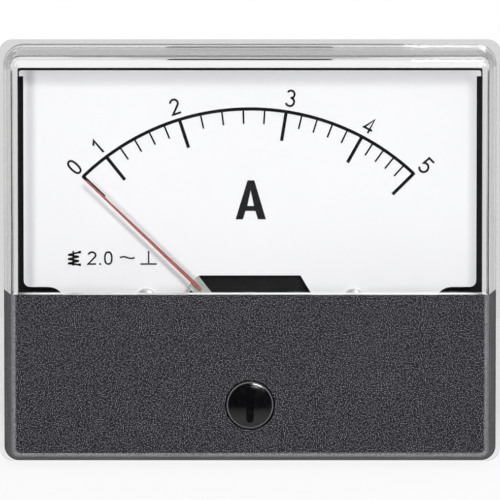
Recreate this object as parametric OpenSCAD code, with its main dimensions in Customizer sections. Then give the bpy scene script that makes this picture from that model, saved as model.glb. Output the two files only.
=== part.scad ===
// Moving-iron panel meter with a clear cover, a lower mask and a round barrel.
// X is to the right, Y runs from the front face to the back, Z is up.
// The origin is on the barrel's axis, in the plane of the panel's front face.

/* [Cover] */
// Width of the rim
cover_w = 70; // [66:0.5:78]
// Height of the rim
cover_h = 59; // [58:0.5:68]
// Distance from the panel to the front face
cover_depth = 14; // [13.8:0.1:16]
// Thickness of the rim that lies on the panel
rim_t = 1.6; // [1.2:0.1:2]
// How far the rim stands out past the walls
rim_step = 0.6; // [0.3:0.1:1.2]
// Corner radius of the rim
rim_corner_r = 1.8; // [1:0.1:3]
// Lean of the walls, in degrees
wall_draft = 7.5; // [3:0.5:9]
// Radius that is left at the front corners
front_corner_r = 0.5; // [0.3:0.1:1.5]
// Rounding of the front edge
front_edge_r = 0.85; // [0.4:0.05:1.2]
// Thickness of the clear cover's side walls
cover_wall = 1.1; // [1:0.1:1.6]
// Thickness of its top and bottom walls
cover_end_wall = 1.8; // [1.4:0.1:2.2]
// Thickness of the window
window_t = 1.9; // [1.6:0.1:2.1]
// Height of the window's lower edge above the barrel's axis
window_foot = -5.4; // [-6.4:0.1:-5]
// Chamfer along the window's lower edge
window_chamfer = 0.28; // [0.1:0.02:0.4]

/* [Mask] */
// Thickness of the lower mask
mask_t = 0.5; // [0.4:0.05:0.7]
// Gap between the mask and the cover
mask_gap = 0.05; // [0.03:0.01:0.1]
// Height of the mask's foot above the rim's lower edge
mask_foot = 0.1; // [0.05:0.05:0.3]
// Corner radius of the mask at its foot
mask_corner_r = 2.1; // [0.8:0.1:2.2]
// Distance of the locating pegs from the middle
peg_x = 24; // [20:1:27]
// Radius of the locating pegs
peg_r = 0.9; // [0.6:0.1:1.2]

/* [Zero adjuster] */
// Height of the adjuster's axis above the rim's lower edge
adjuster_rise = 8.9; // [8.1:0.1:9.5]
// Radius of its hole in the mask
adjuster_hole_r = 3.45; // [3.3:0.05:3.9]
// Radius of its head
adjuster_head_r = 3.25; // [2.8:0.05:3.25]
// Radius of its shank
adjuster_shank_r = 1.9; // [1.8:0.05:2.2]
// Width of its screwdriver slot
adjuster_slot_w = 1; // [0.6:0.1:1.4]
// Length of its screwdriver slot
adjuster_slot_l = 4.8; // [3.6:0.1:5]
// Offset of its eccentric pin
eccentric = 1; // [0.6:0.1:1.1]
// Radius of its eccentric pin
eccentric_pin_r = 0.5; // [0.4:0.05:0.6]

/* [Housing] */
// Thickness of the base plate
base_t = 3; // [2.6:0.1:3.2]
// Outside radius of the barrel
barrel_r = 25.75; // [25.5:0.05:26.5]
// Wall thickness of the barrel
barrel_wall = 1.8; // [1.4:0.1:2]
// Depth of the barrel behind the panel
barrel_depth = 24.5; // [23.5:0.5:34]
// Thickness of the barrel's floor
floor_t = 2.2; // [1.8:0.1:2.4]
// Radius of the posts that carry the movement
post_r = 2.4; // [2.1:0.1:2.6]
// Distance of the posts' axes from the barrel's inner wall
post_inset = 4.45; // [4:0.05:4.6]

/* [Panel studs] */
// Distance between the studs, side to side
stud_dx = 48; // [46:0.5:54]
// Distance between the studs, up and down
stud_dz = 44; // [42:0.5:45]
// Radius of the studs
stud_r = 1.5; // [1.2:0.1:1.6]
// Length of the studs behind the panel
stud_len = 12; // [8:0.5:20]

/* [Terminals] */
// Distance between the terminals
terminal_dx = 28; // [27:0.5:29]
// Height of the terminals
terminal_z = 7; // [6.5:0.1:9]
// Radius of the terminal studs
terminal_r = 2; // [1.5:0.1:2.1]
// Length of the terminal studs behind the barrel
terminal_len = 12; // [11:0.5:20]
// Width across flats of the terminal nuts
terminal_nut_af = 7; // [6:0.1:7.4]
// Thickness of the terminal nuts
terminal_nut_t = 2.6; // [2:0.1:2.8]

/* [Dial] */
// Gap between the dial's sides and the cover's walls
dial_side_gap = 1.37; // [0.9:0.01:1.6]
// Gap between the dial's top edge and the cover's wall
dial_top_gap = 1.34; // [1:0.01:2.5]
// How far the ears at the dial's upper corners stand out
dial_ear = 0.6; // [0.3:0.05:0.7]
// Height of the ears
dial_ear_h = 0.8; // [0.5:0.05:2]
// Height of the dial's lower corners
dial_foot = -4.8; // [-5.2:0.1:-4]
// Half width of the dial's lower tongue
tongue_x = 25.4; // [23:0.1:26]
// Height of the tongue's lower end
tongue_foot = -15; // [-17:0.1:-14]
// Thickness of the dial
dial_t = 0.5; // [0.3:0.05:0.7]
// Distance of the dial's face from the panel
dial_y = 5.6; // [5.5:0.05:5.9]
// Half width of the cut-out at its top
cutout_x = 7; // [6:0.1:8]
// Height of the cut-out's top edge
cutout_top = -3.2; // [-3.6:0.1:-2]
// Distance of the dial screws from the middle
dial_screw_x = 14.4; // [14.3:0.05:15]
// Height of the dial screws
dial_screw_z = -6.4; // [-7:0.1:-6]

/* [Scale] */
// Radius of the scale's arc
scale_r = 33.2; // [30:0.1:34]
// Distance of the arc's centre below the pointer's axis
scale_drop = 1.8; // [0:0.1:3]
// Line width of the arc
arc_line = 0.46; // [0.2:0.02:0.6]
// Length of the long marks
long_mark = 4.1; // [3:0.1:5]
// Line width of the long marks
long_line = 0.46; // [0.3:0.02:0.6]
// Length of the short marks
short_mark = 2.05; // [1:0.05:3]
// Line width of the short marks
short_line = 0.24; // [0.1:0.02:0.3]
// Thickness of the printed marks
print_t = 0.06; // [0.04:0.01:0.1]
// Turn of the pointer from zero to each long mark, in degrees
long_marks_at = [0, 7.6, 28.3, 55.6, 75.8, 91.7];

/* [Pointer] */
// Height of the pointer's axis
pivot_z = -11.5; // [-11.6:0.1:-11.4]
// Pointer's direction at zero, in degrees from upright
zero_angle = -46.4; // [-47:0.1:-45]
// Distance from the axis to the pointer's tip
pointer_len = 31.4; // [26:0.1:32.4]
// Distance from the axis to the blade's lower end
blade_from = 9.3; // [8.6:0.1:10.2]
// Width of the blade at its lower end
blade_root_w = 0.56; // [0.5:0.02:0.9]
// Width of the blade at its tip
blade_tip_w = 0.26; // [0.2:0.02:0.45]
// Thickness of the blade
blade_t = 0.25; // [0.15:0.05:0.3]
// Distance from the axis to the carrier's upper end
carrier_len = 11; // [10.5:0.1:12]
// Width of the carrier at its upper end
carrier_end_w = 2.3; // [1.6:0.1:2.6]
// Thickness of the carrier
carrier_t = 0.3; // [0.2:0.05:0.35]

/* [Movement] */
// Radius of the spindle
spindle_r = 0.6; // [0.5:0.05:0.7]
// Radius of the pivots at the spindle's ends
pivot_r = 0.25; // [0.2:0.01:0.28]
// Radial clearance of the pivots in their jewels
pivot_clearance = 0.05; // [0.03:0.01:0.08]
// Radius of the jewel screws
jewel_screw_r = 1.5; // [1.3:0.05:1.6]
// Gap between the bobbin's flanges and the barrel's inner wall
bobbin_gap = 0.95; // [0.5:0.05:1.5]
// Depth of the winding
winding_depth = 4; // [3.6:0.05:4.2]
// Wall thickness of the bobbin
bobbin_wall = 0.8; // [0.7:0.05:0.9]
// Length of the bobbin between its outer faces
bobbin_len = 13; // [11:0.1:13.4]
// Turns of wire side by side on the bobbin
coil_turns = 9; // [7:1:11]
// Distance of the coil's outside below the flanges' edge
coil_inset = 0.7; // [0.4:0.05:1.4]
// Radius of the coil's leads
lead_r = 0.6; // [0.4:0.05:0.7]
// Angle at which the leads leave the coil, in degrees from upright
lead_angle = 85; // [60:1:85]
// Inside radius of the damping chamber
chamber_in_r = 7.6; // [7.5:0.05:7.8]
// Outside radius of the damping chamber
chamber_out_r = 12.3; // [12:0.05:12.4]
// Half angle of the damping chamber, in degrees
chamber_half = 62; // [61:0.5:64]
// Distance of the bridge pillars from the pointer's axis
pillar_x = 9; // [8.9:0.05:9.3]
// Radius of the bridge pillars
pillar_r = 1.25; // [1.2:0.05:1.3]
// Thickness of the bridges
bridge_t = 0.8; // [0.6:0.05:0.9]
// Height of the bridges' bars
bridge_h = 4.8; // [4.4:0.1:5]
// Turns of the hairspring
spring_turns = 5; // [3:1:6]
// Thickness of the hairspring's strip
spring_t = 0.12; // [0.08:0.01:0.16]
// Width of the hairspring's strip
spring_w = 0.6; // [0.4:0.05:0.65]

/* [Hidden] */
$fn = 64;

// Clearances
seat_gap = 0.02;
turn_gap = 0.05;
fork_gap = 0.1;
base_gap = 0.12;

// Places along Y, from the front to the back
front_y = -cover_depth;
window_back_y = front_y + window_t;
low_face_y = front_y + mask_t + mask_gap;
wall_foot_y = -rim_t;
dial_face_y = -dial_y;
dial_back_y = dial_face_y + dial_t;
base_face_y = -base_t;
floor_y = barrel_depth - floor_t;
barrel_in_r = barrel_r - barrel_wall;
post_at = barrel_in_r - post_inset;
adjuster_z = adjuster_rise - cover_h / 2;

// Outline of the walls at their foot
wall_w = cover_w - 2 * rim_step;
wall_h = cover_h - 2 * rim_step;
inner_w = wall_w - 2 * cover_wall;
inner_h = wall_h - 2 * cover_end_wall;
inner_edge_r = 0.08;
inner_corner_r = 0.3;
low_inset = mask_t + mask_gap;

// Dial: fits between the cover's walls at its own face
dial_narrowing = tan(wall_draft) * (dial_y - rim_t);
dial_w = inner_w - 2 * (dial_narrowing + dial_side_gap);
dial_top = inner_h / 2 - dial_narrowing - dial_top_gap;
dial_rest_r = 1.3;
dial_rest_inset = 2.2;

// Barrel and base plate: the plate fits the cover's narrowing walls at its front face
barrel_edge = 0.8;
base_narrowing = tan(wall_draft) * (base_t - rim_t);
base_w = inner_w - 2 * (base_narrowing + base_gap);
base_h = inner_h - 2 * (base_narrowing + base_gap);
base_corner_r = 1.5;
snap_len = 12;
snap_reach = 0.35;
snap_half = 0.45;
snap_y = -base_t / 2;

// Zero adjuster
boss_h = 0.75;
boss_y = window_back_y + boss_h;
clip_t = 0.25;
clip_y = boss_y + turn_gap;
clip_r = 2.9;
groove_depth = 0.45;
groove_r = adjuster_shank_r - groove_depth;
shank_tail = 0.3;
shank_end_y = clip_y + clip_t + shank_tail;
head_rim_t = 0.6;
head_edge_r = 0.35;
head_dome = 0.25;
slot_depth = 0.6;

// Front bearing: jewel screw, lock nut, lever, bridge, hairspring, pointer
jewel_window_gap = 0.3;
jewel_front_y = window_back_y + jewel_window_gap;
lock_nut_af = 4.6;
lock_nut_t = 0.8;
jewel_slot_len = 0.5;
front_nut_y = jewel_front_y + jewel_slot_len;
lever_t = 0.4;
lever_y = front_nut_y + lock_nut_t + turn_gap;
bridge_y = lever_y + lever_t + turn_gap;
bridge_back_y = bridge_y + bridge_t;
jewel_tail = 0.25;
jewel_back_y = bridge_back_y + jewel_tail;
jewel_depth = 0.8;
shoulder_gap = 0.1;
pivot_len = jewel_depth - shoulder_gap;
collet_y = jewel_back_y + shoulder_gap + turn_gap;
collet_t = spring_w + shoulder_gap;
collet_r = 1.2;
carrier_gap = 0.2;
carrier_y = collet_y + collet_t + carrier_gap;
blade_y = carrier_y - blade_t;
hub_r = 1.3;
hub_t = 0.9;

// Lever, eccentric pin and spring stud
pin_reach = adjuster_z + eccentric - pivot_z;
lever_eye_r = 2.7;
fork_w = 3.4;
fork_end = adjuster_z - pivot_z - 0.4;
stud_at = 4.4;
spring_stud_r = 0.4;
spring_in_r = collet_r + seat_gap;
spring_out_r = stud_at - spring_stud_r - spring_t / 2;

// Frame, bobbin and coil behind the dial
frame_y = 0.5;
frame_t = 1.5;
frame_back_y = frame_y + frame_t;
frame_gap = 0.55;
frame_r = barrel_in_r - frame_gap;
frame_hole_r = 3;
flange_t = 1;
bobbin_y = frame_back_y;
bobbin_end_y = bobbin_y + bobbin_len;
bobbin_r = barrel_in_r + pivot_z - bobbin_gap;
coil_r = bobbin_r - coil_inset;
tube_r = coil_r - winding_depth;
bobbin_bore_r = tube_r - bobbin_wall;
coil_y = bobbin_y + flange_t;
coil_len = bobbin_len - 2 * flange_t;
coil_wire_r = coil_len / coil_turns / 2;
iron_t = 0.5;
iron_margin = 1;

// Rear bearing
rear_post_h = 1.2;
rear_post_r = 1.3;
rear_post_x = tube_r + rear_post_r - 0.1;
rear_bridge_y = bobbin_end_y + rear_post_h;
rear_bridge_back_y = rear_bridge_y + bridge_t;
rear_jewel_y = rear_bridge_y - 1;
rear_jewel_end_y = rear_bridge_back_y + 1.6;
spindle_front_y = jewel_back_y + shoulder_gap;
spindle_back_y = rear_jewel_y - shoulder_gap;

// Damping chamber and vane
chamber_wall = 0.7;
chamber_front_y = -3.8;
chamber_lid_t = 0.3;
chamber_lid_lip = 1;
chamber_sill_y = frame_y - 1.8;
chamber_end = chamber_half + 5.4;
lid_peg_r = 0.25;
vane_margin = 0.4;
vane_t = 0.2;
vane_arm_t = 0.25;
vane_arm_w = 0.9;
vane_arm_y = chamber_sill_y - 0.75;

// Stops for the pointer's carrier
stop_at = 7;
stop_angle = 68;
stop_r = 0.35;

// Screws
small_screw_r = 0.8;
small_head_r = 1.4;
small_head_h = 0.8;
bridge_screw_len = 2.5;
dial_screw_len = 3;
frame_screw_r = 1.1;
frame_screw_len = 5;
frame_head_r = 2.1;
frame_head_h = 1.4;
tip_room = 1;
dial_post_r = 1.9;

// Panel studs
stud_collar_r = stud_r + 0.25;
stud_head_af = 2 * stud_r + 2.5;
stud_head_t = base_t - 1;
stud_tip = 0.4;

// Terminals, from the inside to the outside
terminal_boss_h = 0.8;
terminal_boss_r = 5.2;
lug_t = 0.5;
lug_r = 3.4;
lug_reach = 7.4;
lug_tab_w = 2.6;
inner_nut_y = floor_y - lug_t - terminal_nut_t;
terminal_back_y = barrel_depth + terminal_boss_h;
washer_r = 4.3;
washer_t = 0.8;
spring_washer_t = 1;
clamp_nut_y = terminal_back_y;
washer_y = clamp_nut_y + terminal_nut_t;
spring_washer_y = washer_y + washer_t;
outer_nut_y = spring_washer_y + spring_washer_t;
terminal_end_y = barrel_depth + terminal_len;
lug_angle = atan2(pivot_z - terminal_z, terminal_dx / 2);

// Balance arms
arm_w = 0.5;
arm_len = 6.3;
weight_at = 5.3;
weight_r = 0.75;
weight_len = 1.4;

// ---- helpers ----

// Extrudes a shape drawn in X and Z from y0 to y1
module slab(y0, y1) {
    translate([0, y1, 0]) rotate([90, 0, 0]) linear_extrude(y1 - y0) children();
}

// Round bar along Y
module rod(r, y0, y1) {
    translate([0, y1, 0]) rotate([90, 0, 0]) cylinder(r = r, h = y1 - y0);
}

// Solid turned about Y from [radius, y] points
module turned(points) {
    rotate([90, 0, 0]) rotate_extrude() polygon([for (p = points) [p[0], -p[1]]]);
}

// Moves to a place in the X-Z plane
module at(x, z) {
    translate([x, 0, z]) children();
}

// The same at both sides of the middle
module both_sides(x, z) {
    for (side = [-1, 1]) at(side * x, z) children();
}

// Turns about Y, clockwise as seen from the front
module swing(angle) {
    rotate([0, angle, 0]) children();
}

// Points of an arc, from angle a0 to a1
function arc(x, z, r, a0, a1, n = 8) =
    [for (i = [0 : n]) let (a = a0 + (a1 - a0) * i / n) [x + r * cos(a), z + r * sin(a)]];

// Mirror image of points, in reverse order
function mirrored(points) =
    [for (i = [len(points) - 1 : -1 : 0]) [-points[i][0], points[i][1]]];

// Rectangle with round corners
module round_rect(w, h, r) {
    half = arc(w / 2 - r, -h / 2 + r, r, -90, 0);
    upper = arc(w / 2 - r, h / 2 - r, r, 0, 90);
    right = concat(half, upper);
    polygon(concat(right, mirrored(right)));
}

// Ring or disc in a plane
module ring(r_out, r_in) {
    difference() {
        circle(r = r_out);
        circle(r = r_in);
    }
}

// Sector of a ring, upright, half_angle to each side
module sector(r_in, r_out, half_angle, n = 32) {
    polygon(concat(
        arc(0, 0, r_out, 90 - half_angle, 90 + half_angle, n),
        arc(0, 0, r_in, 90 + half_angle, 90 - half_angle, n)
    ));
}

// Side profile of a drafted wall as [inset, y] points, from its foot to the front
function wall_profile(y_foot, y_front, edge_r) =
    let (
        slope = tan(wall_draft),
        centre_y = y_front + edge_r,
        centre_inset = slope * (y_foot - centre_y) + edge_r / cos(wall_draft),
        steps = 6
    )
    concat(
        [[0, y_foot]],
        [for (i = [0 : steps])
            let (a = wall_draft + (90 - wall_draft) * i / steps)
            [centre_inset - edge_r * cos(a), centre_y - edge_r * sin(a)]]
    );

// Solid block with drafted walls and round corners, w by h at its foot
module drafted_block(w, h, profile, corner_r) {
    last = profile[len(profile) - 1];
    r = corner_r + last[0];
    side_x = [for (p = profile) [w / 2 - p[0], p[1]]];
    side_z = [for (p = profile) [h / 2 - p[0], p[1]]];
    translate([0, 0, -(h / 2 - r)])
        linear_extrude(h - 2 * r) polygon(concat(side_x, mirrored(side_x)));
    translate([-(w / 2 - r), 0, 0])
        rotate([0, 90, 0]) linear_extrude(w - 2 * r) polygon(concat(side_z, mirrored(side_z)));
    for (x = [-1, 1], z = [-1, 1])
        at(x * (w / 2 - r), z * (h / 2 - r))
            turned(concat(
                [[0, profile[0][1]]],
                [for (p = profile) [r - p[0], p[1]]],
                [[0, last[1]]]
            ));
}

// The same with mitred corners, which are rounded only at the foot
module mitred_block(w, h, profile, corner_r) {
    side_x = [for (p = profile) [w / 2 - p[0], p[1]]];
    side_z = [for (p = profile) [h / 2 - p[0], p[1]]];
    intersection() {
        translate([0, 0, -h]) linear_extrude(2 * h) polygon(concat(side_x, mirrored(side_x)));
        translate([-w, 0, 0])
            rotate([0, 90, 0]) linear_extrude(2 * w) polygon(concat(side_z, mirrored(side_z)));
        slab(front_y - 1, 0) round_rect(w, h, corner_r);
    }
}

// Everything above the window's lower edge, which is chamfered at the front
module window_side() {
    translate([-cover_w, 0, 0]) rotate([90, 0, 90]) linear_extrude(2 * cover_w)
        polygon([
            [front_y + window_chamfer, window_foot], [1, window_foot],
            [1, cover_h], [front_y - 1, cover_h],
            [front_y - 1, window_foot + window_chamfer + 1]
        ]);
}

// Everything below a height
module below(z) {
    translate([-cover_w, front_y - 1, z - cover_h]) cube([2 * cover_w, cover_depth + 2, cover_h]);
}

// Outer body of the cover's recessed lower part, grown by a gap
module recessed_block(gap) {
    drafted_block(
        wall_w - 2 * (low_inset - gap),
        wall_h - 2 * (low_inset - gap),
        wall_profile(wall_foot_y, low_face_y - gap, front_edge_r),
        front_corner_r
    );
}

// Hexagonal nut from y0 to y1
module hex_nut(af, bore_r, y0, y1) {
    slab(y0, y1) difference() {
        circle(r = af / 2 / cos(30), $fn = 6);
        circle(r = bore_r + seat_gap);
    }
}

// Slotted pan-head screw along +Y, with its head seated at seat_y
module pan_screw(head_r, head_h, r, seat_y, end_y) {
    difference() {
        union() {
            turned([
                [0, seat_y - head_h], [head_r * 0.62, seat_y - head_h],
                [head_r * 0.88, seat_y - head_h * 0.82], [head_r, seat_y - head_h * 0.45],
                [head_r, seat_y], [0, seat_y]
            ]);
            rod(r, seat_y - head_h / 4, end_y);
        }
        translate([-head_r, seat_y - head_h - 1, -head_r * 0.14])
            cube([2 * head_r, 1 + head_h * 0.45, head_r * 0.28]);
    }
}

// Jewel screw: threaded body with a blind pivot hole and a driver slot
module jewel_screw(slot_y, hole_y, way) {
    y0 = min(slot_y, hole_y);
    y1 = max(slot_y, hole_y);
    floor_at = hole_y + way * jewel_depth;
    difference() {
        rod(jewel_screw_r, y0, y1);
        rod(pivot_r + pivot_clearance, min(hole_y, floor_at) - (way < 0 ? 0 : 1),
            max(hole_y, floor_at) + (way < 0 ? 1 : 0));
        translate([-jewel_screw_r - 1, slot_y - 0.4, -0.2])
            cube([2 * jewel_screw_r + 2, 0.8, 0.4]);
    }
}

// Round wire through points, with ball corners
module wire(points, r) {
    for (i = [0 : len(points) - 2]) {
        d = points[i + 1] - points[i];
        length = norm(d);
        translate(points[i])
            rotate([0, acos(d[2] / length), atan2(d[1], d[0])])
                cylinder(r = r, h = length);
        if (i > 0) translate(points[i]) sphere(r = r * 1.03);
    }
}

// Place and direction of the pointer at zero
module on_pivot() {
    at(0, pivot_z) children();
}

module on_pointer() {
    on_pivot() swing(zero_angle) children();
}

// ---- cover, mask and adjuster ----

module clear_cover() {
    color([0.9, 0.93, 0.95, 0.35])
    difference() {
        union() {
            difference() {
                union() {
                    slab(wall_foot_y, 0) round_rect(cover_w, cover_h, rim_corner_r);
                    recessed_block(0);
                    intersection() {
                        drafted_block(wall_w, wall_h,
                            wall_profile(wall_foot_y, front_y, front_edge_r), front_corner_r);
                        window_side();
                    }
                }
                drafted_block(inner_w, inner_h,
                    wall_profile(wall_foot_y, window_back_y, inner_edge_r), inner_corner_r);
                slab(wall_foot_y - 0.01, 1) round_rect(inner_w, inner_h, rim_corner_r);
            }
            at(0, adjuster_z) rod(adjuster_hole_r, window_back_y - 0.1, boss_y);
            cover_snaps();
        }
        at(0, adjuster_z) rod(adjuster_shank_r + turn_gap, front_y, 0);
        both_sides(peg_x, adjuster_z) rod(peg_r + mask_gap, front_y, window_back_y + 1);
    }
}

// Ridges inside the side walls that snap into the base plate
module cover_snaps() {
    for (side = [0, 1])
        mirror([side, 0, 0])
            translate([0, 0, -snap_len / 2]) linear_extrude(snap_len)
                polygon([
                    [inner_w / 2 + 0.2, snap_y - snap_half],
                    [base_w / 2 - snap_reach + base_gap, snap_y],
                    [inner_w / 2 + 0.2, snap_y + snap_half]
                ]);
}

module front_mask() {
    color([0.23, 0.22, 0.25])
    difference() {
        union() {
            difference() {
                intersection() {
                    mitred_block(wall_w, cover_h - 2 * mask_foot,
                        wall_profile(wall_foot_y, front_y, front_edge_r), mask_corner_r);
                    below(window_foot - mask_gap);
                }
                recessed_block(mask_gap);
            }
            both_sides(peg_x, adjuster_z) rod(peg_r, low_face_y - mask_gap - 0.1, window_back_y + 0.2);
        }
        at(0, adjuster_z) rod(adjuster_hole_r, front_y - 1, low_face_y + 1);
    }
}

module zero_adjuster() {
    head_back_y = low_face_y - turn_gap;
    head_rim_y = head_back_y - head_rim_t;
    dome_half = adjuster_head_r - head_edge_r;
    dome_r = (dome_half * dome_half + head_dome * head_dome) / (2 * head_dome);
    dome_span = asin(dome_half / dome_r);
    color([0.05, 0.05, 0.055])
    at(0, adjuster_z) {
        difference() {
            turned(concat(
                [for (i = [0 : 8])
                    let (a = dome_span * i / 8)
                    [dome_r * sin(a), head_rim_y - head_dome + dome_r * (1 - cos(a))]],
                [for (a = [22.5 : 22.5 : 90])
                    [dome_half + head_edge_r * sin(a), head_rim_y + head_edge_r * (1 - cos(a))]],
                [
                    [adjuster_head_r, head_back_y],
                    [adjuster_shank_r, head_back_y],
                    [adjuster_shank_r, clip_y],
                    [groove_r, clip_y],
                    [groove_r, clip_y + clip_t],
                    [adjuster_shank_r, clip_y + clip_t],
                    [adjuster_shank_r, shank_end_y],
                    [0, shank_end_y]
                ]
            ));
            slab(head_rim_y - head_dome - 1, head_rim_y - head_dome + slot_depth)
                round_rect(adjuster_slot_w, adjuster_slot_l, adjuster_slot_w * 0.45);
        }
        at(0, eccentric) rod(eccentric_pin_r, shank_end_y - 0.1, bridge_y - turn_gap);
    }
}

module adjuster_clip() {
    color([0.62, 0.63, 0.65])
    at(0, adjuster_z)
        slab(clip_y, clip_y + clip_t) difference() {
            ring(clip_r, groove_r + seat_gap);
            translate([-groove_r * 0.8, -clip_r - 1]) square([groove_r * 1.6, clip_r + 1]);
            for (a = [30, 150]) rotate(a) translate([clip_r * 0.93, 0]) circle(r = 0.6);
        }
}

// ---- housing and studs ----

module on_posts() {
    for (place = [[-post_at, 0], [post_at, 0], [0, post_at]]) at(place[0], place[1]) children();
}

module on_studs() {
    for (x = [-1, 1], z = [-1, 1]) at(x * stud_dx / 2, z * stud_dz / 2) children();
}

module rear_housing() {
    color([0.07, 0.07, 0.08])
    difference() {
        union() {
            slab(base_face_y, 0) round_rect(base_w, base_h, base_corner_r);
            turned([
                [barrel_in_r, 0], [barrel_r, 0], [barrel_r, barrel_depth - barrel_edge],
                [barrel_r - barrel_edge, barrel_depth], [0, barrel_depth], [0, floor_y],
                [barrel_in_r - 1, floor_y], [barrel_in_r, floor_y - 1]
            ]);
            both_sides(terminal_dx / 2, terminal_z)
                rod(terminal_boss_r, barrel_depth - 0.1, terminal_back_y);
            housing_posts();
            dial_rests();
        }
        rod(barrel_in_r, base_face_y - 1, 0.1);
        on_posts() rod(frame_screw_r + seat_gap, 0, frame_back_y + frame_screw_len + tip_room);
        both_sides(terminal_dx / 2, terminal_z) rod(terminal_r + 0.1, floor_y - 1, terminal_back_y + 1);
        on_studs() {
            rod(stud_collar_r + seat_gap, base_face_y - 1, 1);
            slab(base_face_y - 1, base_face_y + stud_head_t)
                circle(r = (stud_head_af / 2 + turn_gap) / cos(30), $fn = 6);
        }
        for (side = [0, 1])
            mirror([side, 0, 0])
                translate([0, 0, -snap_len / 2 - 0.3]) linear_extrude(snap_len + 0.6)
                    polygon([
                        [base_w / 2 + 0.1, snap_y - snap_half - 0.1],
                        [base_w / 2 - snap_reach, snap_y],
                        [base_w / 2 + 0.1, snap_y + snap_half + 0.1]
                    ]);
    }
}

// Posts for the movement, each with a rib to the barrel's wall
module housing_posts() {
    rib_half = 0.8;
    reach = barrel_in_r + barrel_wall / 2;
    intersection() {
        union() {
            on_posts() rod(post_r, frame_back_y, floor_y + 0.1);
            slab(frame_back_y, floor_y + 0.1) {
                for (side = [0, 1]) mirror([side, 0])
                    translate([post_at, -rib_half]) square([reach - post_at, 2 * rib_half]);
                translate([-rib_half, post_at]) square([2 * rib_half, reach - post_at]);
            }
        }
        rod(reach, 0, barrel_depth);
    }
}

// Pads on the base plate that carry the dial's upper corners
module dial_rests() {
    for (x = [-1, 1])
        at(x * (dial_w / 2 - dial_rest_inset), dial_top - dial_rest_inset)
            rod(dial_rest_r, dial_back_y, base_face_y + 0.1);
}

module mounting_studs() {
    color([0.66, 0.66, 0.68])
    on_studs() {
        slab(base_face_y, base_face_y + stud_head_t) circle(r = stud_head_af / 2 / cos(30), $fn = 6);
        rod(stud_collar_r, base_face_y + stud_head_t - 0.1, 0);
        turned([
            [0, -0.1], [stud_r, -0.1], [stud_r, stud_len - stud_tip],
            [stud_r - stud_tip, stud_len], [0, stud_len]
        ]);
    }
}

// ---- terminals ----

module on_terminals() {
    both_sides(terminal_dx / 2, terminal_z) children();
}

module terminal_studs() {
    color([0.78, 0.62, 0.32])
    on_terminals()
        turned([
            [0, inner_nut_y - 1], [terminal_r, inner_nut_y - 1],
            [terminal_r, terminal_end_y - 0.5], [terminal_r - 0.5, terminal_end_y], [0, terminal_end_y]
        ]);
}

module inner_nuts() {
    color([0.78, 0.62, 0.32])
    on_terminals() hex_nut(terminal_nut_af, terminal_r, inner_nut_y, inner_nut_y + terminal_nut_t);
}

module terminal_lugs() {
    color([0.8, 0.8, 0.78])
    for (side = [0, 1]) mirror([side, 0, 0])
        at(-terminal_dx / 2, terminal_z)
            slab(floor_y - lug_t, floor_y) difference() {
                union() {
                    circle(r = lug_r);
                    rotate(lug_angle) {
                        translate([0, -lug_tab_w / 2]) square([lug_reach, lug_tab_w]);
                        translate([lug_reach, 0]) circle(r = lug_tab_w / 2);
                    }
                }
                circle(r = terminal_r + 0.1);
            }
}

module clamp_nuts() {
    color([0.78, 0.62, 0.32])
    on_terminals() hex_nut(terminal_nut_af, terminal_r, clamp_nut_y, clamp_nut_y + terminal_nut_t);
}

module terminal_washers() {
    color([0.78, 0.62, 0.32])
    on_terminals() slab(washer_y, washer_y + washer_t) ring(washer_r, terminal_r + 0.15);
}

module spring_washers() {
    color([0.6, 0.6, 0.62])
    on_terminals()
        slab(spring_washer_y, spring_washer_y + spring_washer_t) difference() {
            ring(washer_r - 0.7, terminal_r + 0.1);
            translate([0, -0.25]) square([washer_r, 0.5]);
        }
}

module terminal_nuts() {
    color([0.78, 0.62, 0.32])
    on_terminals() hex_nut(terminal_nut_af, terminal_r, outer_nut_y, outer_nut_y + terminal_nut_t);
}

// ---- dial ----

// Half width of the cut-out at a height
function cutout_half(z) = cutout_x + 0.6 * (cutout_top - z);

module dial_outline() {
    ear_corner = 0.3;
    foot_corner = 0.9;
    notch_r = 2.4;
    right = concat(
        [[cutout_half(tongue_foot), tongue_foot]],
        [[tongue_x - 1, tongue_foot], [tongue_x, tongue_foot + 1]],
        arc(tongue_x + notch_r + 0.2, dial_foot - notch_r, notch_r, 180, 90, 6),
        arc(dial_w / 2 - foot_corner, dial_foot + foot_corner, foot_corner, -90, 0, 5),
        [[dial_w / 2, dial_top - dial_ear_h], [dial_w / 2 + dial_ear, dial_top - dial_ear_h]],
        arc(dial_w / 2 + dial_ear - ear_corner, dial_top - ear_corner, ear_corner, 0, 90, 5)
    );
    difference() {
        polygon(concat(right, mirrored(right)));
        polygon([
            [-cutout_x, cutout_top], [cutout_x, cutout_top],
            [cutout_half(tongue_foot - 1), tongue_foot - 1],
            [-cutout_half(tongue_foot - 1), tongue_foot - 1]
        ]);
        for (side = [-1, 1]) translate([side * dial_screw_x, dial_screw_z]) circle(r = small_screw_r + 0.2);
    }
}

module dial_plate() {
    color([0.96, 0.96, 0.97])
    slab(dial_face_y, dial_back_y) dial_outline();
}

// Distance from the pointer's axis to the arc in a direction
function reach_to_arc(a) =
    sqrt(scale_r * scale_r - pow(scale_drop * sin(a), 2)) - scale_drop * cos(a);

// One mark that runs inward from the arc
module mark(a, length, line) {
    slab(dial_face_y - print_t, dial_face_y)
        rotate(-a) translate([-line / 2, reach_to_arc(a) - length])
            square([line, length + arc_line / 3]);
}

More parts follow.
